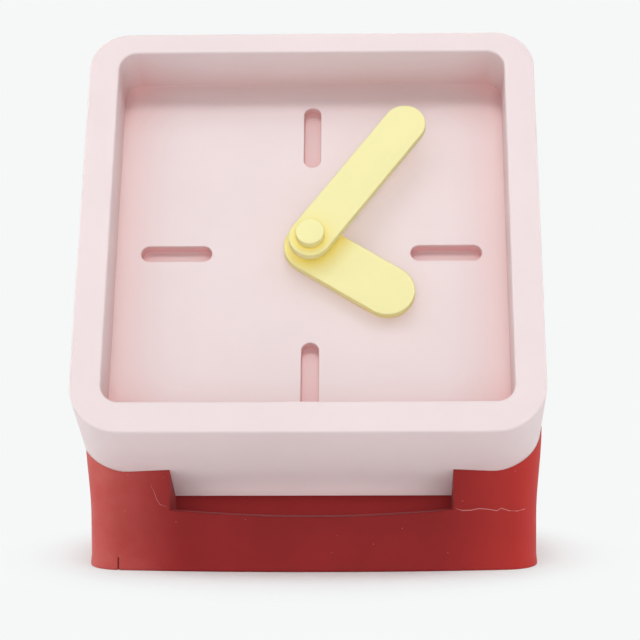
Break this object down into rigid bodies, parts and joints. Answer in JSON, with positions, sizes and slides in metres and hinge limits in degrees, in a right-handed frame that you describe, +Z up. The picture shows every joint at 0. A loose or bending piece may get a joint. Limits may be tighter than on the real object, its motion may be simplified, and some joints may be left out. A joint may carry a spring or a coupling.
{
  "type": "desk clock",
  "caption": "Square desk clock with a deep dial and thick round-ended hands, a battery movement behind a rear cover, leaning in a notched rubber stand.",
  "frame": {"origin": "on the table, under the middle of the whole clock", "axes": "+Z up, +X to the right seen from the front, the face looks towards -Y and leans back"},
  "size_m": [0.1, 0.08, 0.1174],
  "materials": {
    "pink_plastic": "pale pink, matte, moulded through",
    "yellow_plastic": "pale yellow, matte, moulded through",
    "red_rubber": "dark red, matte, slightly rubbery",
    "black_plastic": "black, fine grain",
    "gear_plastic": "natural, plain",
    "brass": "turned",
    "steel": "plain",
    "copper_wire": "enamelled copper wire, wound",
    "board": "green solder mask",
    "cell": "plain dark wrap"
  },
  "bodies": {
    "base": {"base": "red_rubber"},
    "case": {"front_case": "pink_plastic", "rear_cover": "pink_plastic", "cover_screw_1": "steel", "cover_screw_2": "steel", "cover_screw_3": "steel", "cover_screw_4": "steel", "movement_front": "black_plastic", "movement_back": "black_plastic", "hand_bush": "brass", "movement_screw_1": "steel", "movement_screw_2": "steel", "circuit_board": "board", "chip": "black_plastic", "quartz_crystal": "steel", "stator": "steel", "coil_core": "steel", "coil_bobbin": "gear_plastic", "coil_winding": "copper_wire", "battery": "cell", "battery_contact_plus": "steel", "battery_contact_minus": "steel"},
    "minute": {"minute_hand": "yellow_plastic", "hand_cap": "yellow_plastic", "cannon_pinion": "brass"},
    "hour": {"hour_hand": "yellow_plastic", "hour_wheel": "gear_plastic"},
    "motion": {"motion_wheel": "gear_plastic", "setting_knob": "black_plastic"},
    "intermediate": {"intermediate_wheel": "gear_plastic"},
    "rotor": {"rotor": "steel"},
    "seconds": {"seconds_wheel": "gear_plastic"},
    "third": {"third_wheel": "gear_plastic"},
    "centre": {"centre_wheel": "gear_plastic"},
    "door": {"battery_door": "pink_plastic"}
  },
  "joints": [
    {"name": "case_lift", "type": "slide", "parent": "base", "child": "case", "axis": [0, 0, 1], "range_m": [0, 0.06]},
    {"name": "minute_turn", "type": "hinge", "parent": "case", "child": "minute", "pos_m": [0, -0.00931, 0.07125], "axis": [0, 0.866, -0.5], "continuous": true},
    {"name": "hour_turn", "type": "hinge", "parent": "case", "child": "hour", "pos_m": [0, -0.00585, 0.06925], "axis": [0, 0.866, -0.5], "continuous": true},
    {"name": "knob_turn", "type": "hinge", "parent": "case", "child": "motion", "pos_m": [-0.0087, 0.01204, 0.05424], "axis": [0, 0.866, -0.5], "continuous": true},
    {"name": "intermediate_turn", "type": "hinge", "parent": "case", "child": "intermediate", "pos_m": [0, 0.00474, 0.05159], "axis": [0, 0.866, -0.5], "continuous": true},
    {"name": "rotor_turn", "type": "hinge", "parent": "case", "child": "rotor", "pos_m": [-0.00831, 0.00063, 0.05047], "axis": [0, 0.866, -0.5], "continuous": true},
    {"name": "seconds_turn", "type": "hinge", "parent": "case", "child": "seconds", "pos_m": [0, 0.00888, 0.06075], "axis": [0, 0.866, -0.5], "continuous": true},
    {"name": "third_turn", "type": "hinge", "parent": "case", "child": "third", "pos_m": [0.00848, 0.00517, 0.05833], "axis": [0, 0.866, -0.5], "continuous": true},
    {"name": "centre_turn", "type": "hinge", "parent": "case", "child": "centre", "pos_m": [0, 0.00541, 0.06275], "axis": [0, 0.866, -0.5], "continuous": true},
    {"name": "door_hinge", "type": "hinge", "parent": "case", "child": "door", "pos_m": [0, 0.01986, 0.06677], "axis": [-1, 0, 0], "range_deg": [0, 90]}
  ],
  "couplings": [
    {"joint": "hour_turn", "follows": "minute_turn", "ratio": 0.083333},
    {"joint": "knob_turn", "follows": "minute_turn", "ratio": -0.33333},
    {"joint": "rotor_turn", "follows": "intermediate_turn", "ratio": -7.5},
    {"joint": "seconds_turn", "follows": "intermediate_turn", "ratio": -0.25},
    {"joint": "third_turn", "follows": "intermediate_turn", "ratio": 0.033333},
    {"joint": "centre_turn", "follows": "intermediate_turn", "ratio": -0.0041667}
  ]
}
